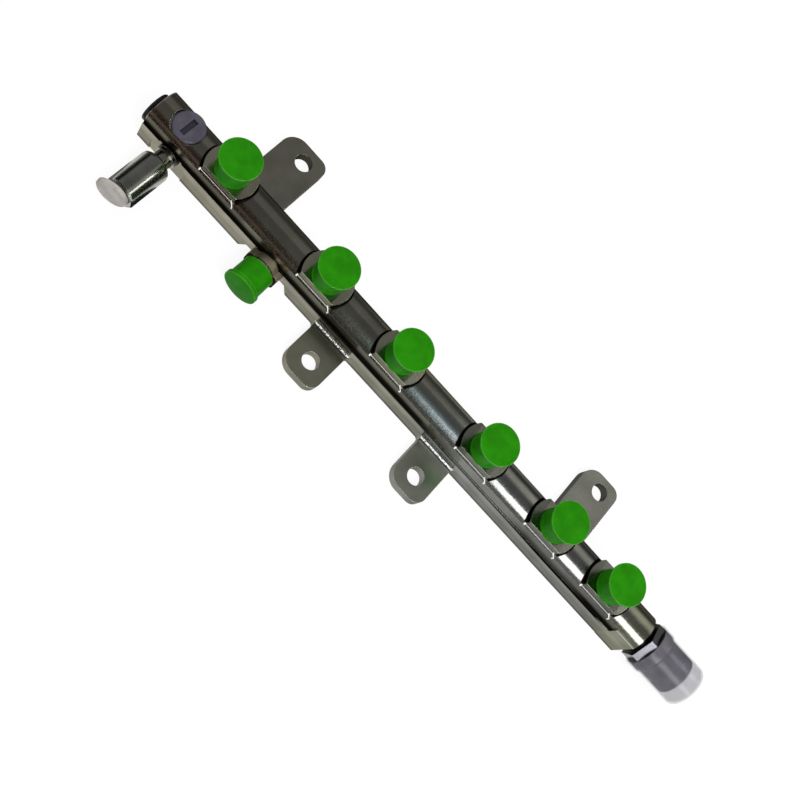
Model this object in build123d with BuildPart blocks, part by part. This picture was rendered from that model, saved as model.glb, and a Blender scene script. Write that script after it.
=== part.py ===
from build123d import *
import os
from math import cos, radians, sin

os.makedirs("parts", exist_ok=True)

# Common rail for a six-cylinder diesel engine. X runs along the rail from the first outlet,
# Z is up, and the origin is on the flat underside straight below the first outlet's axis.

# Bar: a forged round crown over a square-sided foot
BAR_LEFT = -43.5
BAR_RIGHT = 294.1
CROWN_R = 11.8
CROWN_Z = 12.9  # axis of the crown and of the main bore
WALL_Y = 10.1  # half width over the sides of the foot
UPPER_Y = 9.3  # half width over the milled upper walls
LEDGE_Z = 12.4  # ledge between the foot and the upper walls
END_LAND = 13.1  # the milling cutter ran out this far short of the sensor end
MILLED_DEPTH = 0.2  # the foot is skimmed this much below the end land
END_CHAMFER = 0.5
CREST_Z = CROWN_Z + CROWN_R

# Outlets
OUTLET_X = (0, 63.9, 113.4, 172.4, 221.8, 262.5)
BOSS_TOP_Z = 26.1
BOSS_R = 13.2  # round outline of the boss
BOSS_FLAT_X = 9.2  # half length of the level top
BOSS_FLAT_Y = 8.2  # half width over the front and back flats
BOSS_SHOULDER_DROP = 0.3  # fall of the shoulders out to the round outline
BOSS_FOOT_R = 1.0
STUB_R = 7.0  # M14 thread, plain here
STUB_TOP_Z = 38.9
STUB_CHAMFER = 1.0
SEAT_R = 4.2  # mouth of the cone the pipe nipple seals in
SEAT_DEPTH = 5.0
ORIFICE_R = 1.4

# Main bore and its end ports
BORE_R = 4.6
LEFT_PORT_R = 5.6
LEFT_PORT_DEPTH = 10.0
SENSOR_PORT_R = 6.0
SENSOR_PORT_DEPTH = 14.0

# Port in the crown near the left end
TOP_PORT_X = -27.3
TOP_PORT_R = 4.2
TOP_SPOT_R = 8.6
TOP_SPOT_Z = 22.6

# Side port for the return union
UNION_X = -25.8
UNION_Z = 9.0
UNION_THREAD_R = 5.0
UNION_SPOT_X = -25.5
UNION_SPOT_Z = 4.2
UNION_SPOT_R = 10.8
UNION_SPOT_Y = 9.4  # depth of the spot face, measured from the centre plane

# Inlet pad and stub
INLET_X = 40.1
INLET_Z = 9.6
INLET_PAD_HALF = 9.4
INLET_PAD_FOOT = 1.2
INLET_PAD_TOP = 12.8
INLET_PAD_Y = 14.2
INLET_PAD_R = 3.0
INLET_STUB_R = 7.0  # M14 thread, plain here
INLET_STUB_Y = 27.4
RELIEF_X = (24.0, 56.0)  # feet of the two reliefs beside the inlet pad
RELIEF_RUN = 5.5
RELIEF_TOP = 10.6
RELIEF_DEPTH = 3.2

# Mounting tabs, forged with the bar: left edge, right edge, hole X, hole Y, outer Y
TAB_TOP_Z = 5.8
TAB_HOLE_R = 4.5
TABS = (
    (75.2, 97.4, 86.6, -25.7, -36.4),
    (149.4, 170.9, 160.1, -26.4, -36.6),
    (1.1, 26.3, 15.8, 42.5, 51.1),
    (222.6, 245.3, 235.7, 42.3, 50.5),
)
TAB_WIDE_R = 8.5  # free corner towards the left end
TAB_TIGHT_R = 5.5  # free corner towards the sensor end
TAB_ROOT_R = 1.8

# Protection caps on the outlets
GRIP = 0.04  # clearance the pushed-on and pushed-in pieces are drawn with
CAP_TOP_Z = 40.3
CAP_RIM_R = 10.3
CAP_RIM_H = 1.3
CAP_SKIRT_R = 8.4
CAP_BEAD = 0.25
CAP_BEAD_H = 1.8
CAP_EDGE = 0.35

# Protection cap on the inlet
INLET_CAP_Y = 28.9
INLET_CAP_RIM_R = 9.4
INLET_CAP_RIM_H = 2.2
INLET_CAP_R = 8.5
INLET_CAP_MOUTH = 1.5  # gap left to the pad

# Return union, its sealing ring and its plug
UNION_RING_R = 5.9
UNION_RING_T = 1.2
UNION_COLLAR_R = 5.6
UNION_COLLAR_T = 1.5
UNION_NECK_R = 4.7
UNION_BODY_R = 8.0
UNION_BODY_Y = (16.5, 40.6)
UNION_SHOULDER_R = 2.6
UNION_CHAMFER = 0.8
UNION_BORE_R = 5.5
UNION_BORE_DEPTH = 16.0
UNION_DRILL_R = 2.0
UNION_THREAD_L = 4.6
UNION_PLUG_R = UNION_BODY_R + 0.15
UNION_PLUG_T = 1.8
UNION_PLUG_TILT = 8.7  # the flange sits crooked, with its left side standing out
UNION_PLUG_FACE = (-28.0, -43.6)  # centre of the flange's outer face
UNION_PLUG_ROOT = 1.2  # the shank starts this far behind the middle of the face
UNION_PLUG_SHANK = 9.0
UNION_PLUG_EDGE = 0.5
UNION_PLUG_WALL = 1.2

# Plug in the left end
END_PLUG_R = 7.9
END_PLUG_T = 1.7
END_PLUG_EDGE = 0.5
END_PLUG_GAP = 1.1
END_PLUG_COLLAR_R = 6.6
END_PLUG_WALL = 1.4
END_PLUG_SHANK = 8.0

# Plug in the crown
TOP_PLUG_R = 7.9
TOP_PLUG_Y = 0.5  # the flange has been pressed in a little off centre
TOP_PLUG_T = 1.5
TOP_PLUG_SHANK = 6.0
TOP_PLUG_SLOT = (2.8, 9.6, 1.1)  # width along X, length along Y, depth
TOP_PLUG_EDGE = 0.5

# Pressure sensor at the right end
SENSOR_RING_R = 8.6
SENSOR_RING_T = 1.0
SENSOR_NECK_R = 8.9
SENSOR_NECK_L = 1.4
HEX_R = 12.0  # over the corners
HEX_TURN = 13.0
HEX_L = 4.0
SENSOR_THREAD_L = 10.0
SENSOR_DRILL_R = 1.5
HOUSING_R = 10.4
HOUSING_L = 22.0
SOCKET_R = 7.6
SOCKET_DEPTH = 12.0
TERMINAL = (7.0, 0.6, 1.8)  # length, thickness, width
TERMINAL_PITCH = 4.0
SENSOR_CAP_R = 11.9
SENSOR_CAP_WALL = 0.7
SENSOR_CAP_L = 30.5
SENSOR_CAP_EDGE = 2.2


# A turned shoulder is drawn with short cones between these angles
SHOULDER_TURNS = (0, 30, 60, 90)

# Cylinders and cones run on from the point they are placed at
RUN = (Align.CENTER, Align.CENTER, Align.MIN)

# Form of one outlet boss with its stub, standing over X = 0
with BuildPart() as outlet_form:
    with BuildSketch(Plane.XY.offset(CROWN_Z)):
        Circle(BOSS_R)
        Rectangle(2 * BOSS_R, 2 * BOSS_FLAT_Y, mode=Mode.INTERSECT)
    extrude(amount=BOSS_TOP_Z - CROWN_Z)
    # Shoulders falling away from the level top to the round outline
    for side in (-1, 1):
        with BuildSketch(Plane.XZ):
            with BuildLine():
                Polyline(
                    (side * BOSS_FLAT_X, BOSS_TOP_Z),
                    (side * BOSS_R, BOSS_TOP_Z - BOSS_SHOULDER_DROP),
                    (side * BOSS_R, BOSS_TOP_Z),
                    close=True,
                )
            make_face()
        extrude(amount=BOSS_R, both=True, mode=Mode.SUBTRACT)
    with BuildSketch(Plane.XY.offset(BOSS_TOP_Z)):
        Circle(STUB_R)
    extrude(amount=STUB_TOP_Z - BOSS_TOP_Z)
    chamfer(outlet_form.faces().sort_by(Axis.Z)[-1].edges(), STUB_CHAMFER)

with BuildPart() as rail_body:
    with BuildSketch(Plane.YZ.offset(BAR_LEFT)):
        with Locations((0, CROWN_Z)):
            Circle(CROWN_R)
        with Locations((0, CROWN_Z / 2)):
            Rectangle(2 * WALL_Y, CROWN_Z)
        with Locations((0, CROWN_Z)):
            Rectangle(2 * WALL_Y, 2 * CREST_Z, mode=Mode.INTERSECT)
    extrude(amount=BAR_RIGHT - BAR_LEFT)
    # Upper walls and ledges milled along both sides, stopping short of the sensor end
    for side in (-1, 1):
        with BuildSketch(Plane.YZ.offset(BAR_LEFT)):
            with BuildLine():
                Polyline(
                    (side * UPPER_Y, CREST_Z),
                    (side * UPPER_Y, LEDGE_Z),
                    (side * (WALL_Y - MILLED_DEPTH), LEDGE_Z),
                    (side * (WALL_Y - MILLED_DEPTH), 0),
                    (side * 2 * WALL_Y, 0),
                    (side * 2 * WALL_Y, CREST_Z),
                    close=True,
                )
            make_face()
        extrude(amount=BAR_RIGHT - END_LAND - BAR_LEFT, mode=Mode.SUBTRACT)
    with Locations([(x, 0, 0) for x in OUTLET_X]):
        add(outlet_form.part)
    boss_feet = (
        rail_body.edges()
        .filter_by_position(Axis.Y, -BOSS_FLAT_Y - 0.1, BOSS_FLAT_Y + 0.1)
        .filter_by_position(Axis.Z, CROWN_Z + 1, CREST_Z + 0.1)
        .filter_by_position(Axis.X, -BOSS_R - 0.1, OUTLET_X[-1] + BOSS_R + 0.1)
    )
    fillet(boss_feet, BOSS_FOOT_R)
    chamfer(
        rail_body.faces().filter_by(Axis.X).sort_by(Axis.X)[-1].edges().sort_by(Axis.Z)[1:],
        END_CHAMFER,
    )
    # Spot face for the union, open at the underside
    with BuildSketch(Plane.XZ.offset(UNION_SPOT_Y)):
        with Locations((UNION_SPOT_X, UNION_SPOT_Z)):
            Circle(UNION_SPOT_R)
    extrude(amount=WALL_Y - UNION_SPOT_Y + 1, mode=Mode.SUBTRACT)
    # Reliefs either side of the inlet pad
    for foot, way in zip(RELIEF_X, (1, -1)):
        with BuildSketch(Plane.XZ.offset(WALL_Y - RELIEF_DEPTH)):
            with BuildLine():
                Polyline(
                    (foot, 0),
                    (foot + way * RELIEF_RUN, RELIEF_TOP),
                    (INLET_X, RELIEF_TOP),
                    (INLET_X, 0),
                    close=True,
                )
            make_face()
        extrude(amount=RELIEF_DEPTH + 1, mode=Mode.SUBTRACT)
    # Inlet pad and its threaded stub
    with BuildSketch(Plane.XZ):
        with Locations((INLET_X, (INLET_PAD_FOOT + INLET_PAD_TOP) / 2)):
            RectangleRounded(2 * INLET_PAD_HALF, INLET_PAD_TOP - INLET_PAD_FOOT, INLET_PAD_R)
    extrude(amount=INLET_PAD_Y)
    with BuildSketch(Plane.XZ):
        with Locations((INLET_X, INLET_Z)):
            Circle(INLET_STUB_R)
    extrude(amount=INLET_STUB_Y)
    chamfer(rail_body.faces().sort_by(Axis.Y)[0].edges(), STUB_CHAMFER)
    # Mounting tabs
    for left, right, hole_x, hole_y, outer in TABS:
        side = 1 if outer > 0 else -1
        with BuildSketch():
            with BuildLine():
                Polyline((left, 0), (left, outer), (right, outer), (right, 0), close=True)
            make_face()
            free = vertices().group_by(Axis.Y)[-1 if side > 0 else 0].sort_by(Axis.X)
            fillet(free[0], TAB_WIDE_R)
            free = vertices().group_by(Axis.Y)[-1 if side > 0 else 0].sort_by(Axis.X)
            fillet(free[-1], TAB_TIGHT_R)
        extrude(amount=TAB_TOP_Z)
        root = (
            rail_body.edges()
            .filter_by_position(Axis.Y, *sorted((side * UPPER_Y, side * (WALL_Y + 0.1))))
            .filter_by_position(Axis.X, left - 0.1, right + 0.1)
            .filter_by_position(Axis.Z, 0.01, TAB_TOP_Z + 0.01)
        )
        fillet(root, TAB_ROOT_R)
        with Locations((hole_x, hole_y, 0)):
            Cylinder(TAB_HOLE_R, 3 * TAB_TOP_Z, mode=Mode.SUBTRACT)
    # Main bore, its end ports and the drillings that meet it
    with Locations((BAR_LEFT, 0, CROWN_Z)):
        Cylinder(BORE_R, BAR_RIGHT - BAR_LEFT, rotation=(0, 90, 0), align=RUN, mode=Mode.SUBTRACT)
        Cylinder(LEFT_PORT_R, LEFT_PORT_DEPTH, rotation=(0, 90, 0), align=RUN, mode=Mode.SUBTRACT)
    with Locations((BAR_RIGHT, 0, CROWN_Z)):
        Cylinder(SENSOR_PORT_R, SENSOR_PORT_DEPTH, rotation=(0, -90, 0), align=RUN, mode=Mode.SUBTRACT)
    with Locations([(x, 0, CROWN_Z) for x in OUTLET_X]):
        Cylinder(ORIFICE_R, CAP_TOP_Z - CROWN_Z, align=RUN, mode=Mode.SUBTRACT)
    with Locations([(x, 0, STUB_TOP_Z - SEAT_DEPTH) for x in OUTLET_X]):
        Cone(ORIFICE_R, SEAT_R, SEAT_DEPTH, align=RUN, mode=Mode.SUBTRACT)
    with Locations((INLET_X, 0, INLET_Z)):
        Cylinder(ORIFICE_R, INLET_STUB_Y, rotation=(90, 0, 0), align=RUN, mode=Mode.SUBTRACT)
    with Locations((INLET_X, SEAT_DEPTH - INLET_STUB_Y, INLET_Z)):
        Cone(ORIFICE_R, SEAT_R, SEAT_DEPTH, rotation=(90, 0, 0), align=RUN, mode=Mode.SUBTRACT)
    with Locations((UNION_X, 0, UNION_Z)):
        Cylinder(UNION_THREAD_R, WALL_Y, rotation=(90, 0, 0), align=RUN, mode=Mode.SUBTRACT)
    with Locations((TOP_PORT_X, 0, TOP_SPOT_Z)):
        Cylinder(TOP_SPOT_R, CREST_Z, align=RUN, mode=Mode.SUBTRACT)
        Cylinder(TOP_PORT_R, TOP_SPOT_Z - CROWN_Z, rotation=(180, 0, 0), align=RUN, mode=Mode.SUBTRACT)
rail_body.part.label = "rail_body"
export_step(rail_body.part, "parts/rail_body.step")

with BuildPart() as outlet_cap_form:
    # Turned cup with a thin rim round its closed end and a bead at its mouth
    with BuildSketch(Plane.XZ):
        with BuildLine():
            Polyline(
                (0, CAP_TOP_Z),
                (CAP_RIM_R, CAP_TOP_Z),
                (CAP_RIM_R, CAP_TOP_Z - CAP_RIM_H),
                (CAP_SKIRT_R, CAP_TOP_Z - CAP_RIM_H),
                (CAP_SKIRT_R, BOSS_TOP_Z + CAP_BEAD_H),
                (CAP_SKIRT_R + CAP_BEAD, BOSS_TOP_Z + CAP_BEAD_H - CAP_BEAD),
                (CAP_SKIRT_R + CAP_BEAD, BOSS_TOP_Z),
                (STUB_R + GRIP, BOSS_TOP_Z),
                (STUB_R + GRIP, STUB_TOP_Z),
                (0, STUB_TOP_Z),
                close=True,
            )
        make_face()
    revolve(axis=Axis.Z)
    chamfer(outlet_cap_form.edges().group_by(Axis.Z)[-1], CAP_EDGE)

for number, x in enumerate(OUTLET_X, 1):
    with BuildPart() as outlet_cap:
        with Locations((x, 0, 0)):
            add(outlet_cap_form.part)
    outlet_cap.part.label = f"outlet_cap_{number}"
    export_step(outlet_cap.part, f"parts/outlet_cap_{number}.step")

with BuildPart() as inlet_cap:
    # Drawn along the stub's axis, which points to the front
    with BuildSketch(Plane(origin=(INLET_X, 0, INLET_Z), x_dir=(1, 0, 0), z_dir=(0, 0, 1))):
        with BuildLine():
            Polyline(
                (0, -INLET_CAP_Y),
                (INLET_CAP_RIM_R, -INLET_CAP_Y),
                (INLET_CAP_RIM_R, INLET_CAP_RIM_H - INLET_CAP_Y),
                (INLET_CAP_R, INLET_CAP_RIM_H - INLET_CAP_Y),
                (INLET_CAP_R, -INLET_PAD_Y - INLET_CAP_MOUTH),
                (INLET_STUB_R + GRIP, -INLET_PAD_Y - INLET_CAP_MOUTH),
                (INLET_STUB_R + GRIP, -INLET_STUB_Y),
                (0, -INLET_STUB_Y),
                close=True,
            )
        make_face()
    revolve(axis=Axis((INLET_X, 0, INLET_Z), (0, 1, 0)))
    chamfer(inlet_cap.edges().group_by(Axis.Y)[0], CAP_EDGE)
inlet_cap.part.label = "inlet_cap"
export_step(inlet_cap.part, "parts/inlet_cap.step")

UNION_AXIS = Plane(origin=(UNION_X, 0, UNION_Z), x_dir=(1, 0, 0), z_dir=(0, 0, 1))
UNION_RING_Y = UNION_SPOT_Y + UNION_RING_T
UNION_COLLAR_Y = UNION_RING_Y + UNION_COLLAR_T
with BuildPart() as return_union:
    with BuildSketch(UNION_AXIS):
        with BuildLine():
            Polyline(
                (0, UNION_THREAD_L - UNION_SPOT_Y),
                (UNION_THREAD_R, UNION_THREAD_L - UNION_SPOT_Y),
                (UNION_THREAD_R, -UNION_RING_Y),
                (UNION_COLLAR_R, -UNION_RING_Y),
                (UNION_COLLAR_R, -UNION_COLLAR_Y),
                (UNION_NECK_R, -UNION_COLLAR_Y),
                (UNION_NECK_R, -UNION_BODY_Y[0]),
                *[
                    (
                        UNION_BODY_R - UNION_SHOULDER_R * (1 - sin(radians(turn))),
                        -UNION_BODY_Y[0] - UNION_SHOULDER_R * (1 - cos(radians(turn))),
                    )
                    for turn in SHOULDER_TURNS
                ],
                (UNION_BODY_R, -UNION_BODY_Y[1]),
                (0, -UNION_BODY_Y[1]),
                close=True,
            )
        make_face()
    revolve(axis=Axis((UNION_X, 0, UNION_Z), (0, 1, 0)))
    body_rims = return_union.edges().filter_by(
        lambda rim: rim.geom_type == GeomType.CIRCLE and abs(rim.radius - UNION_BODY_R) < GRIP
    ).sort_by(Axis.Y)
    chamfer(body_rims[0], UNION_CHAMFER)
    with Locations((UNION_X, -UNION_BODY_Y[1], UNION_Z)):
        Cylinder(UNION_BORE_R, UNION_BORE_DEPTH, rotation=(-90, 0, 0), align=RUN, mode=Mode.SUBTRACT)
        Cylinder(UNION_DRILL_R, UNION_BODY_Y[1], rotation=(-90, 0, 0), align=RUN, mode=Mode.SUBTRACT)
return_union.part.label = "return_union"
export_step(return_union.part, "parts/return_union.step")

with BuildPart() as union_ring:
    with Locations((UNION_X, -UNION_SPOT_Y, UNION_Z)):
        Cylinder(UNION_RING_R, UNION_RING_T, rotation=(90, 0, 0), align=RUN)
        Cylinder(UNION_THREAD_R, UNION_RING_T, rotation=(90, 0, 0), align=RUN, mode=Mode.SUBTRACT)
    chamfer(
        union_ring.edges().filter_by(GeomType.CIRCLE).sort_by(SortBy.RADIUS)[-2:], UNION_RING_T / 4
    )
union_ring.part.label = "union_sealing_ring"
export_step(union_ring.part, "parts/union_sealing_ring.step")

UNION_PLUG_AXIS = Plane(
    origin=(*UNION_PLUG_FACE, UNION_Z),
    x_dir=(0, 0, 1),
    z_dir=(-sin(radians(UNION_PLUG_TILT)), cos(radians(UNION_PLUG_TILT)), 0),
)
with BuildPart() as union_plug:
    # Flange that has been pushed over to the left
    with BuildSketch(UNION_PLUG_AXIS):
        Circle(UNION_PLUG_R)
    extrude(amount=UNION_PLUG_T)
    chamfer(union_plug.edges().sort_by(Axis.Y)[0], UNION_PLUG_EDGE)
    # Hollow shank in the union's bore
    with Locations((UNION_X, UNION_PLUG_FACE[1] + UNION_PLUG_ROOT, UNION_Z)):
        Cylinder(UNION_BORE_R - GRIP, UNION_PLUG_SHANK, rotation=(-90, 0, 0), align=RUN)
    with Locations((UNION_X, UNION_PLUG_FACE[1] + 2 * UNION_PLUG_T, UNION_Z)):
        Cylinder(
            UNION_BORE_R - UNION_PLUG_WALL, UNION_PLUG_SHANK, rotation=(-90, 0, 0), align=RUN,
            mode=Mode.SUBTRACT,
        )
union_plug.part.label = "union_plug"
export_step(union_plug.part, "parts/union_plug.step")

with BuildPart() as end_plug:
    # Flange held off the end face by a short collar
    with Locations((BAR_LEFT, 0, CROWN_Z)):
        Cylinder(LEFT_PORT_R - GRIP, END_PLUG_SHANK, rotation=(0, 90, 0), align=RUN)
        Cylinder(END_PLUG_COLLAR_R, END_PLUG_GAP, rotation=(0, -90, 0), align=RUN)
    with Locations((BAR_LEFT - END_PLUG_GAP, 0, CROWN_Z)):
        Cylinder(END_PLUG_R, END_PLUG_T, rotation=(0, -90, 0), align=RUN)
        Cylinder(
            LEFT_PORT_R - END_PLUG_WALL, END_PLUG_SHANK + END_PLUG_GAP, rotation=(0, 90, 0),
            align=RUN, mode=Mode.SUBTRACT,
        )
    chamfer(end_plug.edges().group_by(Axis.X)[0], END_PLUG_EDGE)
end_plug.part.label = "end_plug"
export_step(end_plug.part, "parts/end_plug.step")

with BuildPart() as top_plug:
    with Locations((TOP_PORT_X, TOP_PLUG_Y, TOP_SPOT_Z)):
        Cylinder(TOP_PLUG_R, TOP_PLUG_T, align=RUN)
    with Locations((TOP_PORT_X, 0, TOP_SPOT_Z)):
        Cylinder(TOP_PORT_R - GRIP, TOP_PLUG_SHANK, rotation=(180, 0, 0), align=RUN)
    chamfer(top_plug.edges().group_by(Axis.Z)[-1], TOP_PLUG_EDGE)
    with Locations((TOP_PORT_X, 0, TOP_SPOT_Z + TOP_PLUG_T - TOP_PLUG_SLOT[2])):
        Box(TOP_PLUG_SLOT[0], TOP_PLUG_SLOT[1], TOP_PLUG_T, align=RUN, mode=Mode.SUBTRACT)
top_plug.part.label = "top_plug"
export_step(top_plug.part, "parts/top_plug.step")

HEX_X = BAR_RIGHT + SENSOR_RING_T + SENSOR_NECK_L
with BuildPart() as sensor_ring:
    with Locations((BAR_RIGHT, 0, CROWN_Z)):
        Cylinder(SENSOR_RING_R, SENSOR_RING_T, rotation=(0, 90, 0), align=RUN)
        Cylinder(SENSOR_PORT_R, SENSOR_RING_T, rotation=(0, 90, 0), align=RUN, mode=Mode.SUBTRACT)
sensor_ring.part.label = "sensor_sealing_ring"
export_step(sensor_ring.part, "parts/sensor_sealing_ring.step")

with BuildPart() as sensor_body:
    with Locations((BAR_RIGHT + SENSOR_RING_T, 0, CROWN_Z)):
        Cylinder(SENSOR_NECK_R, SENSOR_NECK_L, rotation=(0, 90, 0), align=RUN)
        Cylinder(SENSOR_PORT_R, SENSOR_THREAD_L, rotation=(0, -90, 0), align=RUN)
    with BuildSketch(Plane(origin=(HEX_X, 0, CROWN_Z), x_dir=(0, 0, 1), z_dir=(1, 0, 0))):
        RegularPolygon(HEX_R, 6, rotation=HEX_TURN)
    extrude(amount=HEX_L)
    with Locations((HEX_X + HEX_L, 0, CROWN_Z)):
        Cylinder(
            SENSOR_DRILL_R, HEX_L + SENSOR_NECK_L + SENSOR_THREAD_L, rotation=(0, -90, 0),
            align=RUN, mode=Mode.SUBTRACT,
        )
sensor_body.part.label = "sensor_body"
export_step(sensor_body.part, "parts/sensor_body.step")

with BuildPart() as sensor_housing:
    with Locations((HEX_X + HEX_L, 0, CROWN_Z)):
        Cylinder(HOUSING_R, HOUSING_L, rotation=(0, 90, 0), align=RUN)
    with Locations((HEX_X + HEX_L + HOUSING_L, 0, CROWN_Z)):
        Cylinder(SOCKET_R, SOCKET_DEPTH, rotation=(0, -90, 0), align=RUN, mode=Mode.SUBTRACT)
sensor_housing.part.label = "sensor_housing"
export_step(sensor_housing.part, "parts/sensor_housing.step")

with BuildPart() as sensor_terminals:
    with Locations(
        [
            (HEX_X + HEX_L + HOUSING_L - SOCKET_DEPTH, place * TERMINAL_PITCH, CROWN_Z)
            for place in (-1, 0, 1)
        ]
    ):
        Box(*TERMINAL, align=(Align.MIN, Align.CENTER, Align.CENTER))
sensor_terminals.part.label = "sensor_terminals"
export_step(sensor_terminals.part, "parts/sensor_terminals.step")

CAP_END_X = HEX_X + HEX_L + SENSOR_CAP_L
with BuildPart() as sensor_cap:
    # Thin translucent cup pushed over the connector housing
    with BuildSketch(Plane.XZ):
        with BuildLine():
            Polyline(
                (CAP_END_X, CROWN_Z),
                *[
                    (
                        CAP_END_X - SENSOR_CAP_EDGE * (1 - cos(radians(turn))),
                        CROWN_Z + SENSOR_CAP_R - SENSOR_CAP_EDGE * (1 - sin(radians(turn))),
                    )
                    for turn in SHOULDER_TURNS
                ],
                (HEX_X + HEX_L, CROWN_Z + SENSOR_CAP_R),
                (HEX_X + HEX_L, CROWN_Z + SENSOR_CAP_R - SENSOR_CAP_WALL),
                (CAP_END_X - SENSOR_CAP_WALL, CROWN_Z + SENSOR_CAP_R - SENSOR_CAP_WALL),
                (CAP_END_X - SENSOR_CAP_WALL, CROWN_Z),
                close=True,
            )
        make_face()
    revolve(axis=Axis((0, 0, CROWN_Z), (1, 0, 0)))
sensor_cap.part.label = "sensor_cap"
export_step(sensor_cap.part, "parts/sensor_cap.step")
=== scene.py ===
import math

import bmesh
import bpy
from mathutils import Matrix, Vector


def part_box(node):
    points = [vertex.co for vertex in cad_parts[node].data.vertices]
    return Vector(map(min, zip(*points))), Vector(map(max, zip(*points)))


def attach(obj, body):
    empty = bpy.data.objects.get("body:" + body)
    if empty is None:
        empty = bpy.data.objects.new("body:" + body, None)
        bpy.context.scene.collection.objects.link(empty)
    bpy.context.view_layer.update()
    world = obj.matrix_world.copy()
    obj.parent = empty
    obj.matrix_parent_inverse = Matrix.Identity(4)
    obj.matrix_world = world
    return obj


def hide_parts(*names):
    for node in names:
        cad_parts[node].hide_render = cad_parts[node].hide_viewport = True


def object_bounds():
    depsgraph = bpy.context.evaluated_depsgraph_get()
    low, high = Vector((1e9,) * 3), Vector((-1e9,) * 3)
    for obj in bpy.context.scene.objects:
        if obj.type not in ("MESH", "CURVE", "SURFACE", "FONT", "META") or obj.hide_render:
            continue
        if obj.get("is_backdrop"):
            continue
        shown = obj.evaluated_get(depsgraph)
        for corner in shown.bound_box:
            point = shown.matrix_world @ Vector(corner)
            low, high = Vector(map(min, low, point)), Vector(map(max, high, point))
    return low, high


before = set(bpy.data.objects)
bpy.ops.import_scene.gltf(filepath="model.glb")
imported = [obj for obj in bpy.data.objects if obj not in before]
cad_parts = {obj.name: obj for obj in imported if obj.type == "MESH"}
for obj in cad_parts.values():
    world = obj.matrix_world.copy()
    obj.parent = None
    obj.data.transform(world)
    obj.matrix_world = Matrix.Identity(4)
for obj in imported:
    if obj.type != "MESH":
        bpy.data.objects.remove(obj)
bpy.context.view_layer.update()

# Common fuel rail of a six-cylinder diesel engine, ready for fitting, with its ports capped.
# It lies on its flat underside; X runs along the bar towards the pressure sensor.


# Camera. It looks steeply down over the front of the rail from beyond its left end, and is
# rolled so that the bar runs from the upper left of the picture to the lower right.
camera = bpy.data.objects.new("camera", bpy.data.cameras.new("camera"))
camera.data.lens = 52.80
camera.data.sensor_width = 36
camera.data.clip_start = 0.01
camera.location = (0.05846, -0.25148, 0.50238)
camera.rotation_euler = [math.radians(turn) for turn in (13.669, -23.846, 42.867)]
bpy.context.collection.objects.link(camera)
bpy.context.scene.camera = camera
bpy.context.scene.view_settings.view_transform = "Standard"


# Floor. One wide sheet of white paper just under the rail. It shows as clean white, also in
# the metal, and keeps a faint soft shadow.
def node(tree, kind, inputs=None, **settings):
    made = tree.nodes.new(kind)
    for name, value in settings.items():
        setattr(made, name, value)
    for name, value in (inputs or {}).items():
        if isinstance(value, bpy.types.NodeSocket):
            tree.links.new(value, made.inputs[name])
        else:
            made.inputs[name].default_value = value
    return made


def worked(tree, operation, *values):
    return node(tree, "ShaderNodeMath", dict(enumerate(values)), operation=operation).outputs[0]


def seen(tree):
    # 1 for what is looked at straight, in a reflection or through a clear wall
    path = node(tree, "ShaderNodeLightPath").outputs
    first = worked(tree, "MAXIMUM", path["Is Camera Ray"], path["Is Glossy Ray"])
    return worked(tree, "MAXIMUM", first, path["Is Transmission Ray"])


def blank(name):
    made = bpy.data.materials.new(name)
    made.use_nodes = True
    made.node_tree.nodes.clear()
    return made, made.node_tree


def staged(name, form, finish):
    mesh = bpy.data.meshes.new(name)
    form.to_mesh(mesh)
    form.free()
    mesh.materials.append(finish)
    piece = bpy.data.objects.new(name, mesh)
    bpy.context.collection.objects.link(piece)
    piece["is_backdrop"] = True
    return piece


FLOOR_HALF = 6.0
FLOOR_Z = -0.0002
FLOOR_SHINE = 0.86  # share of the sheet's white that no shadow darkens

paper, tree = blank("white_paper")
lit = node(tree, "ShaderNodeBsdfDiffuse", {"Color": (0.62, 0.62, 0.62, 1)})
own = node(tree, "ShaderNodeEmission", {"Color": (1, 1, 1, 1), "Strength": 1.06})
share = worked(tree, "MULTIPLY", seen(tree), FLOOR_SHINE)
both = node(tree, "ShaderNodeMixShader", {0: share, 1: lit.outputs[0], 2: own.outputs[0]})
node(tree, "ShaderNodeOutputMaterial", {"Surface": both.outputs[0]})
form = bmesh.new()
bmesh.ops.create_grid(form, x_segments=1, y_segments=1, size=FLOOR_HALF)
bmesh.ops.translate(form, vec=(0, 0, FLOOR_Z), verts=form.verts)
staged("floor", form, paper)


# Light. A pale world and two large soft lamps, a key over the front right and a fill over the
# back left, light every surface at a plain level.
WORLD_LEVEL = 0.34  # what lights the surfaces, while the world itself is seen as clean white
LAMPS_AIM = Vector((0.12, 0, 0))

world = bpy.data.worlds.new("studio")
world.use_nodes = True
bpy.context.scene.world = world
tree = world.node_tree
level = node(
    tree, "ShaderNodeMapRange", {"Value": seen(tree), "To Min": WORLD_LEVEL, "To Max": 1.0}
)
tree.links.new(level.outputs["Result"], tree.nodes["Background"].inputs["Strength"])
tree.nodes["Background"].inputs["Color"].default_value = (1, 1, 1, 1)

for name, place, size, power in (
    ("key_lamp", (0.55, -0.45, 1.20), 0.8, 16.0),
    ("fill_lamp", (-0.60, 0.50, 1.10), 1.0, 6.0),
):
    lamp = bpy.data.objects.new(name, bpy.data.lights.new(name, "AREA"))
    lamp.data.shape = "DISK"
    lamp.data.size = size
    lamp.data.energy = power
    lamp.location = place
    lamp.rotation_euler = (Vector(place) - LAMPS_AIM).to_track_quat("Z", "Y").to_euler()
    lamp.visible_glossy = False
    lamp.visible_camera = False
    bpy.context.collection.objects.link(lamp)


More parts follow.
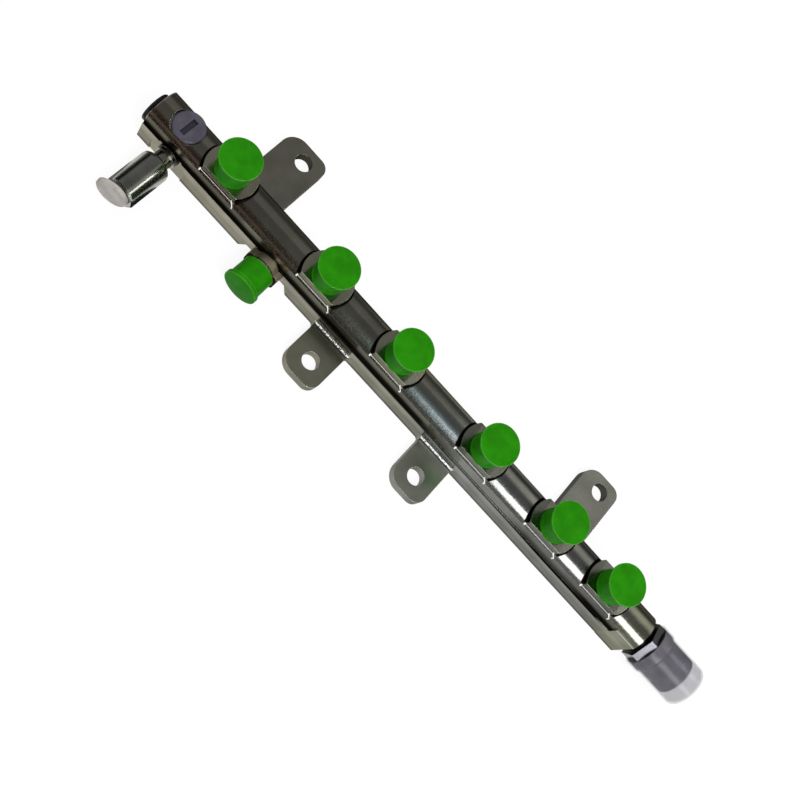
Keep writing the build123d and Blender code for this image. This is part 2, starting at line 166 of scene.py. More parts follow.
# Light tent. A curved backdrop of dark cloth that only reflections see. It has a softbox in
# its front right, a paler panel high at the back and a small blue-grey one in the middle.
def ramp(tree, share, stops):
    made = node(tree, "ShaderNodeValToRGB", {"Fac": share})
    marks = made.color_ramp.elements
    marks.remove(marks[1])
    for number, (place, tone) in enumerate(stops):
        colour = tone if isinstance(tone, tuple) else (tone, tone, tone)
        mark = marks[0] if number == 0 else marks.new(place)
        mark.position = place
        mark.color = (*colour, 1)
    return made.outputs["Color"]


def mixed(tree, share, first, second, way="MIX"):
    inputs = {0: share, 6: first, 7: second}
    made = node(tree, "ShaderNodeMix", inputs, data_type="RGBA", blend_type=way)
    return made.outputs[2]


def between(tree, value, low, high, bottom=0.0, top=1.0):
    inputs = {"Value": value, "From Min": low, "From Max": high, "To Min": bottom, "To Max": top}
    return node(tree, "ShaderNodeMapRange", inputs, interpolation_type="SMOOTHSTEP").outputs[0]


def plateau(tree, value, start, full, fading, end):
    # 1 from full to fading, with a soft edge on either side
    rise = between(tree, value, start, full)
    return worked(tree, "MULTIPLY", rise, between(tree, value, fading, end, 1, 0))


def chained(tree, operation, *values):
    total = values[0]
    for value in values[1:]:
        total = worked(tree, operation, total, value)
    return total


def product(tree, *shares):
    return chained(tree, "MULTIPLY", *shares)


def highest(tree, *shares):
    return chained(tree, "MAXIMUM", *shares)


def glowing(tree, colour, strength=1.0):
    glow = node(tree, "ShaderNodeEmission", {"Color": colour, "Strength": strength})
    node(tree, "ShaderNodeOutputMaterial", {"Surface": glow.outputs[0]})


TENT_R = 1.2
TENT_X = (-1.6, 2.4)
TENT_REACH = 100  # degrees either way from straight above
# Tones of the four cloths against the angle from straight above, towards the front
CLOTH_LEFT = (
    (-100, 0.05), (-70, 0.10), (-56, 0.22), (-27, 0.24), (-20, 0.13), (22, 0.14),
    (32, (0.06, 0.04, 0.03)), (47, (0.04, 0.025, 0.02)), (53, (0.20, 0.16, 0.14)),
    (59, (0.18, 0.14, 0.12)), (64, (0.04, 0.02, 0.02)), (100, (0.04, 0.02, 0.02)),
)
CLOTH_NEXT = (
    (-100, 0.05), (-70, 0.10), (-56, 0.22), (-27, 0.24), (-20, 0.13), (22, 0.15),
    (32, (0.15, 0.165, 0.14)), (47, (0.12, 0.13, 0.11)), (53, (0.14, 0.15, 0.13)),
    (64, (0.05, 0.055, 0.05)), (100, 0.04),
)
CLOTH_MIDDLE = (
    (-100, 0.06), (-62, 0.14), (-40, 0.32), (-31, 0.38), (-26, 0.18), (4, (0.13, 0.15, 0.17)),
    (14, (0.26, 0.36, 0.46)), (24, (0.36, 0.50, 0.68)), (28, (0.55, 0.74, 0.95)),
    (35, (0.45, 0.60, 0.80)), (40, (0.30, 0.42, 0.56)), (54, (0.16, 0.24, 0.32)), (64, 0.12),
    (100, 0.05),
)
CLOTH_RIGHT = (
    (-100, 0.05), (-72, 0.10), (-64, 0.38), (-52, (0.80, 0.78, 0.68)), (-34, (0.76, 0.75, 0.66)),
    (-26, 0.45), (-16, 0.18), (14, 0.20), (20, 0.32), (56, 0.34), (76, 0.26), (84, 0.10),
    (100, 0.05),
)
CLOTH_END = (0.04, 0.04, 0.04, 1)
# How far along the tent each cloth passes into the next, and how far its folds shift that
SEAMS = ((0.04, 0.11), (0.23, 0.28), (0.38, 0.46), (1.40, 1.50))
FOLDS = 0.10
SOFTBOX = (24, 29, 49, 55)  # angles between which its light fades in and out
SOFTBOX_X = (0.42, 0.47)
SOFTBOX_STRENGTH = 6.0
STRIP = (77, 79, 90, 92)  # the same for a low strip of light along the front
STRIP_X = (0.95, 1.05)
STRIP_SHARE = 0.5
# Small lights: their X, their angles and their share of the softbox's strength
WINDOWS = (
    (0.295, 0.31, 23, 30, 0.2), (0.34, 0.38, 28, 38, 0.2), (1.08, 1.30, -44, -24, 0.9),
)
WINDOW_FADE_X = 0.02
WINDOW_FADE = 4

cloth, tree = blank("tent_cloth")
at = node(tree, "ShaderNodeTexCoord").outputs["Object"]
axes = node(tree, "ShaderNodeSeparateXYZ", {0: at}).outputs
front = worked(tree, "MULTIPLY", axes["Y"], -1.0)
angle = worked(tree, "DEGREES", worked(tree, "ARCTAN2", front, axes["Z"]))
fold = node(tree, "ShaderNodeTexNoise", {"Vector": at, "Scale": 3.0, "Detail": 2.0}).outputs[0]
along = worked(tree, "MULTIPLY_ADD", worked(tree, "SUBTRACT", fold, 0.5), FOLDS, axes["X"])
turn = node(
    tree, "ShaderNodeMapRange",
    {"Value": angle, "From Min": -TENT_REACH, "From Max": TENT_REACH},
).outputs[0]
panels = [
    ramp(tree, turn, [((a + TENT_REACH) / 2 / TENT_REACH, tone) for a, tone in stops])
    for stops in (CLOTH_LEFT, CLOTH_NEXT, CLOTH_MIDDLE, CLOTH_RIGHT)
]
tone = panels[0]
for seam, panel in zip(SEAMS, (*panels[1:], CLOTH_END)):
    tone = mixed(tree, between(tree, along, *seam), tone, panel)
lit = product(tree, plateau(tree, angle, *SOFTBOX), between(tree, along, *SOFTBOX_X))
for left, right, under, over, part in WINDOWS:
    wide = plateau(tree, along, left - WINDOW_FADE_X, left, right, right + WINDOW_FADE_X)
    tall = plateau(tree, angle, under - WINDOW_FADE, under, over, over + WINDOW_FADE)
    lit = highest(tree, lit, product(tree, wide, tall, part))
low = product(
    tree, plateau(tree, angle, *STRIP), between(tree, along, *STRIP_X, STRIP_SHARE, 0)
)
lit = highest(tree, lit, low)
tone = mixed(tree, lit, tone, (1, 1, 1, 1))
glowing(tree, tone, worked(tree, "MULTIPLY_ADD", lit, SOFTBOX_STRENGTH - 1, 1.0))

form = bmesh.new()
hem = [form.verts.new((x, 0, TENT_R)) for x in TENT_X]
hem.append(form.edges.new(hem))
bmesh.ops.rotate(
    form, matrix=Matrix.Rotation(math.radians(-TENT_REACH), 3, "X"), verts=form.verts
)
bmesh.ops.spin(
    form, geom=hem, axis=(1, 0, 0), angle=math.radians(2 * TENT_REACH), steps=64,
)
sides = [staged("light_tent", form, cloth)]


def sheet_of(name, tone):
    made, tree = blank(name)
    glowing(tree, (tone, tone, tone, 1))
    return made


black = sheet_of("black_sheet", 0.02)
for name, x in zip(("tent_end_left", "tent_end_right"), TENT_X):
    form = bmesh.new()
    bmesh.ops.create_circle(form, cap_ends=True, radius=TENT_R, segments=64)
    stand = Matrix.Translation((x, 0, 0)) @ Matrix.Rotation(math.radians(90), 4, "Y")
    bmesh.ops.transform(form, matrix=stand, verts=form.verts)
    sides.append(staged(name, form, black))

# Sheets that only reflections see lie on the floor: a grey one behind the rail, and a pale and a
# black one either side of the return union as painted shadow
behind, tree = blank("grey_cloth")
at = node(tree, "ShaderNodeTexCoord").outputs["Object"]
x = node(tree, "ShaderNodeSeparateXYZ", {0: at}).outputs["X"]
tone = mixed(tree, between(tree, x, 0.09, 0.14), (0.13, 0.13, 0.12, 1), (0.50, 0.50, 0.46, 1))
tone = mixed(tree, between(tree, x, 0.21, 0.24), tone, (0.22, 0.22, 0.20, 1))
glowing(tree, tone)
pale = sheet_of("pale_shadow_sheet", 0.24)
for name, low, high, finish in (
    ("cloth_behind", (-0.5, 0.012), (0.9, 1.2), behind),
    ("shadow_left_of_union", (-0.500, -0.060), (-0.0345, -0.0205), pale),
    ("shadow_right_of_union", (-0.0175, -0.060), (0.018, -0.0205), black),
):
    form = bmesh.new()
    bmesh.ops.create_grid(form, x_segments=1, y_segments=1, size=0.5)
    reach = [b - a for a, b in zip(low, high)]
    middle = [(a + b) / 2 for a, b in zip(low, high)]
    bmesh.ops.scale(form, vec=(*reach, 1), verts=form.verts)
    bmesh.ops.translate(form, vec=(*middle, FLOOR_Z / 2), verts=form.verts)
    sides.append(staged(name, form, finish))
for side in sides:
    side.visible_camera = False
    side.visible_diffuse = False
    side.visible_transmission = False
    side.visible_volume_scatter = False
    side.visible_shadow = False


# Rail body. A steel forging with a round crown on a square foot, its bosses, pads and tabs in
# one piece, milled along the sides and plated zinc-nickel, which gives it an olive cast.
def grain_group():
    made = bpy.data.node_groups.new("grain", "ShaderNodeTree")
    for name, kind in (("Vector", "Vector"), ("Broad Scale", "Float"), ("Fine Scale", "Float")):
        made.interface.new_socket(name, in_out="INPUT", socket_type="NodeSocket" + kind)
    for name in ("Broad", "Fine"):
        made.interface.new_socket(name, in_out="OUTPUT", socket_type="NodeSocketFloat")
    given = node(made, "NodeGroupInput").outputs
    broad = node(
        made, "ShaderNodeTexNoise",
        {"Vector": given["Vector"], "Scale": given["Broad Scale"], "Detail": 3.0},
    )
    fine = node(
        made, "ShaderNodeTexNoise",
        {"Vector": given["Vector"], "Scale": given["Fine Scale"], "Detail": 4.0},
    )
    node(made, "NodeGroupOutput", {"Broad": broad.outputs[0], "Fine": fine.outputs[0]})
    return made


GRAIN = grain_group()


def grained(tree, broad, fine):
    at = node(tree, "ShaderNodeTexCoord").outputs["Object"]
    made = node(
        tree, "ShaderNodeGroup", {"Vector": at, "Broad Scale": broad, "Fine Scale": fine},
        node_tree=GRAIN,
    )
    return at, made.outputs["Broad"], made.outputs["Fine"]


def surfaced(name, **sockets):
    made, tree = blank(name)
    skin = node(tree, "ShaderNodeBsdfPrincipled", sockets)
    node(tree, "ShaderNodeOutputMaterial", {"Surface": skin.outputs[0]})
    return made, tree, skin


def bumped(tree, skin, height, depth, edge=None):
    inputs = {"Height": height, "Strength": 1.0, "Distance": depth}
    if edge:
        inputs["Normal"] = node(tree, "ShaderNodeBevel", {"Radius": edge}, samples=4).outputs[0]
    made = node(tree, "ShaderNodeBump", inputs)
    tree.links.new(made.outputs[0], skin.inputs["Normal"])


def finished(name, material):
    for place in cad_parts[name].material_slots:
        place.material = material


def band(tree, value, low, high, fade=0.0002):
    # 1 between low and high, fading out over a short way
    half = fade / 2
    return plateau(tree, value, low - half, low + half, high - half, high + half)


def wear_and_sheen_group():
    # Edges that a rounded corner would turn, for wear and for painted highlights
    made = bpy.data.node_groups.new("edge_wear_and_sheen", "ShaderNodeTree")
    made.interface.new_socket("Rounded", in_out="INPUT", socket_type="NodeSocketVector")
    made.interface.new_socket("Wear And Sheen", in_out="OUTPUT", socket_type="NodeSocketFloat")
    rounded = node(made, "NodeGroupInput").outputs["Rounded"]
    facing = node(made, "ShaderNodeNewGeometry").outputs["Normal"]
    same = node(
        made, "ShaderNodeVectorMath", {0: rounded, 1: facing}, operation="DOT_PRODUCT"
    ).outputs["Value"]
    node(made, "NodeGroupOutput", {"Wear And Sheen": between(made, same, 0.90, 0.99, 1, 0)})
    return made


EDGE_WEAR_AND_SHEEN = wear_and_sheen_group()


def wear_and_sheen(tree, radius):
    rounded = node(tree, "ShaderNodeBevel", {"Radius": radius}, samples=6).outputs[0]
    made = node(tree, "ShaderNodeGroup", {"Rounded": rounded}, node_tree=EDGE_WEAR_AND_SHEEN)
    return made.outputs["Wear And Sheen"]


# Places along X
BAR_X = (-0.045, 0.295)
CROWN_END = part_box("rail_body")[0].x + 0.0005  # inner edge of the chamfer round the left end
OUTLETS = [
    sum(corner.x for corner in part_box(f"outlet_cap_{number}")) / 2 for number in range(1, 7)
]
INLET_X = sum(corner.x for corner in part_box("inlet_cap")) / 2
PAD_HALF = 0.0101
# Distances from the middle of the bar
BOSS_FLAT = 0.0082
UPPER_WALL = 0.0093  # milled, above the ledge
FOOT_WALL = (0.0097, 0.0102)  # just inside and just outside the foot's walls
PAD_BACK = 0.0103
PAD_FRONT = 0.0142
TAB_ROOT = (0.0103, 0.0113)
TAB_START = 0.0115  # where the tabs come clear of their root fillets
# Heights
TAB_TOP = 0.0058
TAB_ROOT_UP = (0.0060, 0.0072)
PAD_UP = (0.0095, 0.0105)
LEDGE = 0.0124
CROWN_AXIS = 0.0129
WALL_TOP = 0.0202  # where the upper walls run into the crown
FLAT_FOOT = 0.0214  # where the bosses' fronts rise from the crown
BOSS_TOP = 0.0261
# Colour of the plating along the bar, painted shade along and up its walls and along its ledge,
# and the foot's painted contact shade up its height
PLATING_ALONG = (
    (0.00, (0.36, 0.34, 0.27)), (0.25, (0.33, 0.32, 0.26)), (0.52, (0.30, 0.30, 0.25)),
    (0.64, (0.29, 0.295, 0.28)), (0.93, (0.26, 0.26, 0.245)), (0.96, (0.29, 0.295, 0.235)),
    (1.00, (0.29, 0.295, 0.235)),
)
RECESS_SHADE_ALONG = (
    (0.00, 0.97), (0.55, 0.97), (0.62, 0.15), (0.73, 0.10), (0.77, 0.7), (0.86, 0.7),
    (0.90, 0.97), (1.00, 0.97),
)
RECESS_SHADE_UP = ((0.0, 1.0), (0.34, 1.0), (0.48, 0.85), (0.66, 0.55), (1.0, 0.45))
BROW_ALONG = (
    (0.0, 0.0), (0.26, 0.1), (0.33, 0.7), (0.42, 0.95), (0.55, 0.9), (0.65, 0.7), (0.80, 1.0),
    (0.93, 1.0), (0.95, 0.0), (1.0, 0.0),
)
BROW_SINKS_X = (0.20, 0.235)  # from and to where it comes to reach lower down the foot
BROW_SINKS = 0.0007
FOOT_UP = ((0.0, 0.45), (0.12, 0.55), (0.22, 0.85), (0.50, 0.80), (0.72, 1.05), (1.0, 1.15))
TOPS_DULL_X = (0.13, 0.17)  # over which the bosses' tops turn duller towards the sensor
# Painted shade round the feet of the bosses and painted highlight lines in front: the distance
# from the outlet's axis at which they lie or end, and the heights between which they show
FOOT_SHADE_RING = (0.0129, 0.0144)
FOOT_SHADE_RING_UP = (0.0207, 0.0254)
LINE_END = (0.0140, 0.0144)
LINE_UP = (0.0205, 0.0219)
# Painted highlights at the ends of the foot of a boss's front: X from the outlet, lean and reach
SPOTS = ((-0.0107, 0.0, 0.0090), (0.0096, 1.9, 0.0094))
SPOT_HALF = 0.00035
SPOT_UP = (0.0180, 0.0185, 0.0222, 0.0225)
NOISE = (0.3, 0.7)  # nearly all values of a grain lie between these

plating, tree, skin = surfaced("plated_forging", **{"Specular Tint": (0.4, 0.4, 0.38, 1)})
at, broad, fine = grained(tree, 70.0, 1400.0)
axes = node(tree, "ShaderNodeSeparateXYZ", {0: at}).outputs
x, y, z = axes["X"], axes["Y"], axes["Z"]
aside = worked(tree, "ABSOLUTE", y)
front = worked(tree, "MULTIPLY", y, -1.0)
along = node(
    tree, "ShaderNodeMapRange", {"Value": x, "From Min": BAR_X[0], "From Max": BAR_X[1]}
).outputs[0]
tone = ramp(tree, along, PLATING_ALONG)
# Painted shade and dark reflection in the milled recess and along the edge of its ledge
rise = node(
    tree, "ShaderNodeMapRange", {"Value": z, "From Min": LEDGE, "From Max": WALL_TOP}
).outputs[0]
scale = product(
    tree, band(tree, aside, UPPER_WALL - 0.0002, UPPER_WALL + 0.00055),
    band(tree, z, LEDGE - 0.0001, WALL_TOP + 0.0001), ramp(tree, along, RECESS_SHADE_ALONG),
    ramp(tree, rise, RECESS_SHADE_UP),
)
sunk = worked(tree, "ADD", z, between(tree, x, *BROW_SINKS_X, 0, BROW_SINKS))
brow = product(
    tree, band(tree, aside, FOOT_WALL[0] - 0.0001, FOOT_WALL[1]),
    between(tree, sunk, LEDGE - 0.0014, LEDGE - 0.0005),
    band(tree, z, LEDGE - 0.0024, LEDGE + 0.0001), ramp(tree, along, BROW_ALONG),
)
scale = highest(tree, scale, brow)
# The foot is painted darker towards its lower edge as contact shade, the bosses' fronts are
# painted darker than their milled tops as shade, the tabs' tops are lighter, the walls at the
# back are brighter, and the inlet pad has a pale forged skin and a front painted dark as shade
foot = product(tree, band(tree, aside, *FOOT_WALL), between(tree, z, LEDGE - 0.0002, LEDGE, 1, 0))
height = node(tree, "ShaderNodeMapRange", {"Value": z, "From Max": LEDGE}).outputs[0]
flats = product(
    tree, band(tree, front, BOSS_FLAT - 0.0002, BOSS_FLAT + 0.0001),
    between(tree, z, FLAT_FOOT, FLAT_FOOT + 0.0003),
)
tops = product(
    tree, between(tree, z, BOSS_TOP - 0.0006, BOSS_TOP - 0.0004),
    between(tree, aside, BOSS_FLAT, BOSS_FLAT + 0.0001, 1, 0),
)
milled = mixed(tree, between(tree, x, *TOPS_DULL_X), (1.3, 1.3, 1.2, 1), (0.95, 0.95, 0.87, 1))
tabs = product(
    tree, between(tree, front, TAB_START, TAB_START + 0.0005),
    between(tree, z, TAB_TOP - 0.0002, TAB_TOP - 0.0001),
)
far = plateau(
    tree, y, UPPER_WALL - 0.0002, UPPER_WALL - 0.0001, FOOT_WALL[1] + 0.0002,
    FOOT_WALL[1] + 0.0004,
)
beside = band(tree, x, INLET_X - PAD_HALF, INLET_X + PAD_HALF)
pad = product(
    tree, beside, band(tree, front, PAD_BACK, PAD_FRONT + 0.0001), between(tree, z, *PAD_UP)
)
mouth = product(
    tree, beside,
    plateau(
        tree, front, PAD_FRONT - 0.0002, PAD_FRONT - 0.0001, PAD_FRONT + 0.0002,
        PAD_FRONT + 0.0004,
    ),
)
shade = mixed(tree, foot, (1, 1, 1, 1), ramp(tree, height, FOOT_UP))
for patch, tint in (
    (flats, (0.64, 0.66, 0.60, 1)), (tops, milled), (tabs, (1.58, 1.56, 1.48, 1)),
    (far, (1.9, 1.9, 1.9, 1)), (pad, (2.1, 1.9, 1.65, 1)), (mouth, (0.10, 0.10, 0.09, 1)),
):
    shade = mixed(tree, patch, shade, tint)
cloudy = between(tree, broad, *NOISE, 0.86, 1.08)
cloud = node(tree, "ShaderNodeCombineXYZ", dict.fromkeys(range(3), cloudy)).outputs[0]
shade = mixed(tree, 1.0, shade, cloud, "MULTIPLY")
tone = mixed(tree, 1.0, tone, shade, "MULTIPLY")
# A dark ring of painted shade on the crown round each boss, and a painted highlight line in front
flat = node(tree, "ShaderNodeCombineXYZ", {0: x, 1: y}).outputs[0]
ring = 1.0
for outlet in OUTLETS:
    away = node(
        tree, "ShaderNodeVectorMath", {0: flat, 1: (outlet, 0, 0)}, operation="DISTANCE"
    ).outputs["Value"]
    ring = worked(tree, "MINIMUM", ring, away)
boss_foot_shade = product(
    tree, band(tree, ring, *FOOT_SHADE_RING, 0.0005), band(tree, z, *FOOT_SHADE_RING_UP),
    between(tree, aside, BOSS_FLAT - 0.0004, BOSS_FLAT + 0.0002, 1, 0),
)
line = product(
    tree, band(tree, front, BOSS_FLAT + 0.0002, BOSS_FLAT + 0.0004), band(tree, z, *LINE_UP),
    between(tree, ring, *LINE_END, 1, 0),
)
# Painted highlight lines along the back of the inlet pad and round the left end of the crown
pad_line = product(
    tree, beside, band(tree, front, PAD_BACK - 0.0003, PAD_BACK + 0.0001),
    band(tree, z, LEDGE - 0.0002, LEDGE + 0.0007),
)
rim = product(
    tree, between(tree, x, CROWN_END - 0.0001, CROWN_END + 0.0001, 1, 0),
    between(tree, z, CROWN_AXIS - 0.0001, CROWN_AXIS + 0.0001),
)
line = highest(tree, line, pad_line, product(tree, rim, 0.8))
# Painted highlights: bright flecks in the root fillets of the tabs, and a bright spot at either
# end of the foot of each boss's front, the right one drawn out forwards
glints = product(
    tree, band(tree, aside, *TAB_ROOT), band(tree, z, *TAB_ROOT_UP),
    between(tree, fine, 0.45, 0.49),
)
for outlet in OUTLETS:
    for corner, slope, reach in SPOTS:
        drift = worked(
            tree, "MULTIPLY_ADD", worked(tree, "SUBTRACT", front, BOSS_FLAT + 0.0002), -slope,
            worked(tree, "SUBTRACT", x, outlet + corner),
        )
        spot = product(
            tree, band(tree, drift, -SPOT_HALF, SPOT_HALF),
            band(tree, front, BOSS_FLAT - 0.0001, reach), plateau(tree, z, *SPOT_UP),
        )
        glints = highest(tree, glints, spot)
# Edges are lightened a little, as wear and as a painted highlight, and the painted shade lies
# over all but the flecks and spots
edges = product(tree, wear_and_sheen(tree, 0.0002), between(tree, fine, 0.35, 0.60, 0.05, 0.35))
tone = mixed(tree, highest(tree, line, glints, edges), tone, (0.90, 0.90, 0.87, 1))
scale = highest(tree, scale, boss_foot_shade)
tone = mixed(tree, scale, tone, (0.006, 0.005, 0.004, 1))
tone = mixed(tree, glints, tone, (0.95, 0.95, 0.92, 1))
tree.links.new(tone, skin.inputs["Base Color"])
tree.links.new(worked(tree, "SUBTRACT", 1.0, glints), skin.inputs["Metallic"])
gloss = between(tree, fine, *NOISE, 0.12, 0.21)
dull = [
    product(tree, patch, share)
    for patch, share in ((scale, 0.45), (pad, 0.5), (tops, 0.20), (tabs, 0.30))
]
tree.links.new(highest(tree, gloss, *dull), skin.inputs["Roughness"])
bumped(tree, skin, fine, depth=0.00003, edge=0.00035)
finished("rail_body", plating)


# Outlet caps. Six turned-over cups of soft green polyethylene, pushed onto the threaded
# outlets against dirt, each with a thin rim round its closed end.
MOULDED_GRAIN = (160.0, 2600.0)


def moulded(name, colour, roughness, edge_highlight=None, **sockets):
    made, tree, skin = surfaced(name, **sockets)
    _, broad, fine = grained(tree, *MOULDED_GRAIN)
    dark = tuple(0.82 * part for part in colour)
    light = tuple(1.08 * part for part in colour)
    tone = mixed(tree, between(tree, broad, *NOISE), (*dark, 1), (*light, 1))
    # Edges painted in the given lighter colour as a highlight
    if edge_highlight:
        tone = mixed(tree, wear_and_sheen(tree, 0.0006), tone, (*edge_highlight, 1))
    tree.links.new(tone, skin.inputs["Base Color"])
    spread = between(tree, fine, *NOISE, roughness - 0.05, roughness + 0.06)
    tree.links.new(spread, skin.inputs["Roughness"])
    bumped(tree, skin, fine, depth=0.00001)
    return made


def turned(name, profile, place, way, rounding):
    # Radii and heights in millimetres, spun about the axis with height 0 at the place, and the
    # edges rounded
    form = bmesh.new()
    line = [form.verts.new((radius, 0, height)) for radius, height in profile]
    line += [form.edges.new(pair) for pair in zip(line, line[1:])]
    bmesh.ops.spin(form, geom=line, axis=(0, 0, 1), angle=math.tau, steps=96, use_merge=True)
    bmesh.ops.remove_doubles(form, verts=form.verts, dist=0.001)
    bmesh.ops.recalc_face_normals(form, faces=form.faces)
    rims = [e for e in form.edges if e.is_manifold and e.calc_face_angle() > 0.5]
    bmesh.ops.bevel(
        form, geom=rims, offset=rounding, segments=3, profile=0.5, affect="EDGES",
        material=-1, clamp_overlap=True,
    )
    swing = Vector((0, 0, 1)).rotation_difference(Vector(way)).to_matrix().to_4x4()
    size = Matrix.Scale(0.001, 4)
    bmesh.ops.transform(form, matrix=Matrix.Translation(place) @ swing @ size, verts=form.verts)
    return named(name, form)


def named(name, form):
    mesh = bpy.data.meshes.new(name)
    form.to_mesh(mesh)
    form.free()
    mesh.shade_smooth()
    mesh.set_sharp_from_angle(angle=math.radians(35))
    piece = bpy.data.objects.new(name, mesh)
    bpy.context.collection.objects.link(piece)
    return piece


def seated(piece, node_name, material):
    piece.data.materials.append(material)
    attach(piece, "root")
    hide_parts(node_name)


OUTLET_CAP = (
    (0, 14.2), (10.3, 14.2), (10.3, 12.9), (8.6, 12.9), (8.35, 2.0), (8.65, 1.6), (8.65, 0),
    (7.05, 0), (7.05, 12.8), (0, 12.8),
)
# The edges of the green caps are painted a lighter green as a highlight
green = moulded(
    "green_polyethylene", (0.017, 0.195, 0.003), roughness=0.42, edge_highlight=(0.26, 0.62, 0.15),
    **{"Subsurface Weight": 0.1, "Subsurface Scale": 0.002, "Specular IOR Level": 0.03},
)
for number in range(1, len(OUTLETS) + 1):
    low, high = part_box(f"outlet_cap_{number}")
    foot = ((low.x + high.x) / 2, (low.y + high.y) / 2, low.z)
    piece = turned(f"cap_on_outlet_{number}", OUTLET_CAP, foot, (0, 0, 1), rounding=0.25)
    seated(piece, f"outlet_cap_{number}", green)


# Inlet cap. A cup of the same green plastic, pushed onto the threaded stub of the inlet pad.
# Its rim is thicker than the outlet caps' and stands out less.
INLET_CAP = (
    (0, 13.2), (9.4, 13.2), (9.4, 11.0), (8.6, 11.0), (8.4, 1.4), (8.5, 0), (7.05, 0),
    (7.05, 11.7), (0, 11.7),
)
low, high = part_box("inlet_cap")
mouth = ((low.x + high.x) / 2, high.y, (low.z + high.z) / 2)
piece = turned("cap_on_inlet", INLET_CAP, mouth, (0, -1, 0), rounding=0.3)
seated(piece, "inlet_cap", green)


# Return union. Turned from bright plated bar, with a thin neck before its body, and drawn
# down on a dark steel sealing ring.
TURNED_GRAIN = (120.0, 2200.0)


def bright(name, dark, light, roughness, depth=0.00001):
    made, tree, skin = surfaced(name, Metallic=1.0)
    _, broad, fine = grained(tree, *TURNED_GRAIN)
    tone = mixed(tree, between(tree, broad, *NOISE), (*dark, 1), (*light, 1))
    tree.links.new(tone, skin.inputs["Base Color"])
    spread = between(tree, fine, *NOISE, roughness - 0.04, roughness + 0.05)
    tree.links.new(spread, skin.inputs["Roughness"])
    bumped(tree, skin, fine, depth, edge=0.0002)
    return made


plated = bright(
    "union_plating", (0.28, 0.285, 0.255), (0.37, 0.375, 0.34), roughness=0.18, depth=0.000003
)
finished("return_union", plated)
washer = bright("dark_steel_ring", (0.06, 0.058, 0.055), (0.12, 0.115, 0.11), roughness=0.3)
finished("union_sealing_ring", washer)


# Union plug. An off-white moulded plug in the mouth of the union, whose thin flange has been
# pushed over to one side.
finished("union_plug", moulded("off_white_plastic", (0.41, 0.39, 0.36), roughness=0.42))


# End plug. A black moulded plug with a thin flange, pushed into the left end of the main bore
# to keep it clean.
stopper = moulded(
    "black_plug_plastic", (0.010, 0.010, 0.010), roughness=0.4, **{"Specular IOR Level": 0.2}
)
finished("end_plug", stopper)


# Top plug. A smoky violet plug in the port near the left end. The slot of
# its flange is painted darker as shade.
SLOT_HALF = 0.00145
SLOT_DEPTH = 0.0011
low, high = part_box("top_plug")
slot_x = (low.x + high.x) / 2
slot_floor = high.z - SLOT_DEPTH
dusky, tree, skin = surfaced("smoke_plastic", Roughness=0.42)
at, broad, fine = grained(tree, *MOULDED_GRAIN)
axes = node(tree, "ShaderNodeSeparateXYZ", {0: at}).outputs
tone = mixed(
    tree, between(tree, broad, *NOISE), (0.050, 0.046, 0.064, 1), (0.068, 0.063, 0.088, 1)
)
slot_shade = product(
    tree, between(tree, axes["Z"], slot_floor + 0.0001, slot_floor + 0.0009, 1, 0),
    band(tree, axes["X"], slot_x - SLOT_HALF, slot_x + SLOT_HALF),
)
tone = mixed(tree, slot_shade, tone, (0.018, 0.016, 0.026, 1))
tree.links.new(tone, skin.inputs["Base Color"])
bumped(tree, skin, fine, depth=0.00001)
finished("top_plug", dusky)


# Pressure sensor. A plated hexagon body on a sealing ring, with one flat painted bright as a
# highlight and its neck painted black as shadow. Its moulded black housing fills the cap and has
# three blade terminals in its open socket.
HOUSING = (
    (0, 10.0), (7.6, 10.0), (7.6, 22.0), (11.0, 22.0), (11.0, 15.4), (10.7, 15.1), (10.7, 14.5),
    (11.0, 14.2), (11.0, 6.9), (11.9, 5.9), (11.9, 0.05), (0, 0.05),
)
HEX_FLAT = 43.0  # degrees that the flat painted bright as a highlight leans to the front
HEX_ACROSS = 0.01039  # distance of the flat from the axis
NECK = 0.0014  # length between the sealing ring and the hexagon
rubber = moulded("black_rubber", (0.012, 0.012, 0.012), roughness=0.45)
finished("sensor_sealing_ring", rubber)
hexagon, tree, skin = surfaced("sensor_plating", Metallic=1.0, Roughness=0.2)
at, _, fine = grained(tree, *TURNED_GRAIN)
axes = node(tree, "ShaderNodeSeparateXYZ", {0: at}).outputs
lean = math.radians(HEX_FLAT)
above = worked(tree, "SUBTRACT", axes["Z"], CROWN_AXIS)
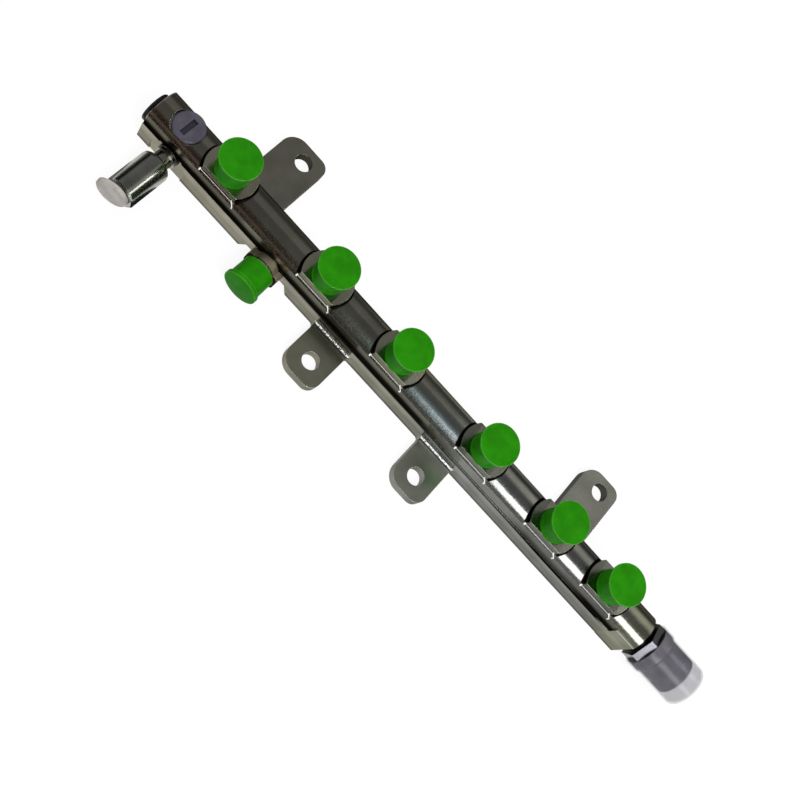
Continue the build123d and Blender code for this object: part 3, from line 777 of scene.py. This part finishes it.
out = worked(
    tree, "ADD", product(tree, axes["Y"], -math.sin(lean)), product(tree, above, math.cos(lean))
)
# The flat that leans to the front is painted bright as a highlight
lit_facet = between(tree, out, HEX_ACROSS - 0.0003, HEX_ACROSS - 0.0001)
tone = mixed(tree, lit_facet, (0.10, 0.10, 0.105, 1), (0.62, 0.62, 0.69, 1))
# The neck behind the hexagon is painted black as shadow
neck_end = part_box("sensor_sealing_ring")[1].x + NECK
neck = between(tree, axes["X"], neck_end - 0.0001, neck_end + 0.0001, 1, 0)
tone = mixed(tree, neck, tone, (0.01, 0.01, 0.01, 1))
tree.links.new(tone, skin.inputs["Base Color"])
bumped(tree, skin, fine, depth=0.00001, edge=0.0002)
finished("sensor_body", hexagon)
low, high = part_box("sensor_housing")
foot = (low.x, (low.y + high.y) / 2, (low.z + high.z) / 2)
piece = turned("housing_of_sensor", HOUSING, foot, (1, 0, 0), rounding=0.2)
shell = moulded(
    "black_housing_plastic", (0.015, 0.015, 0.018), roughness=0.4,
    **{"Specular IOR Level": 0.25},
)
seated(piece, "sensor_housing", shell)
blades = bright("tinned_brass", (0.60, 0.60, 0.58), (0.72, 0.72, 0.70), roughness=0.2)
finished("sensor_terminals", blades)


# Sensor cap. A thin translucent cup, blow-moulded and slightly violet, over the housing. Its
# mouth is wider, to spring over the housing's collar.
SENSOR_CAP = (
    (0, 30.5), (9.7, 30.5), (10.8, 30.2), (11.6, 29.4), (11.9, 28.3), (11.9, 6.9), (12.75, 6.0),
    (12.75, 0.02), (12.05, 0.02), (12.05, 6.2), (11.2, 7.1), (11.2, 28.2), (10.4, 29.4),
    (9.7, 29.8), (0, 29.8),
)
low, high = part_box("sensor_cap")
foot = (low.x, (low.y + high.y) / 2, (low.z + high.z) / 2)
piece = turned("cap_of_sensor", SENSOR_CAP, foot, (1, 0, 0), rounding=0.1)
film = moulded("translucent_plastic", (0.26, 0.245, 0.29), roughness=0.18, Alpha=0.24)
seated(piece, "sensor_cap", film)


low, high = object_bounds()
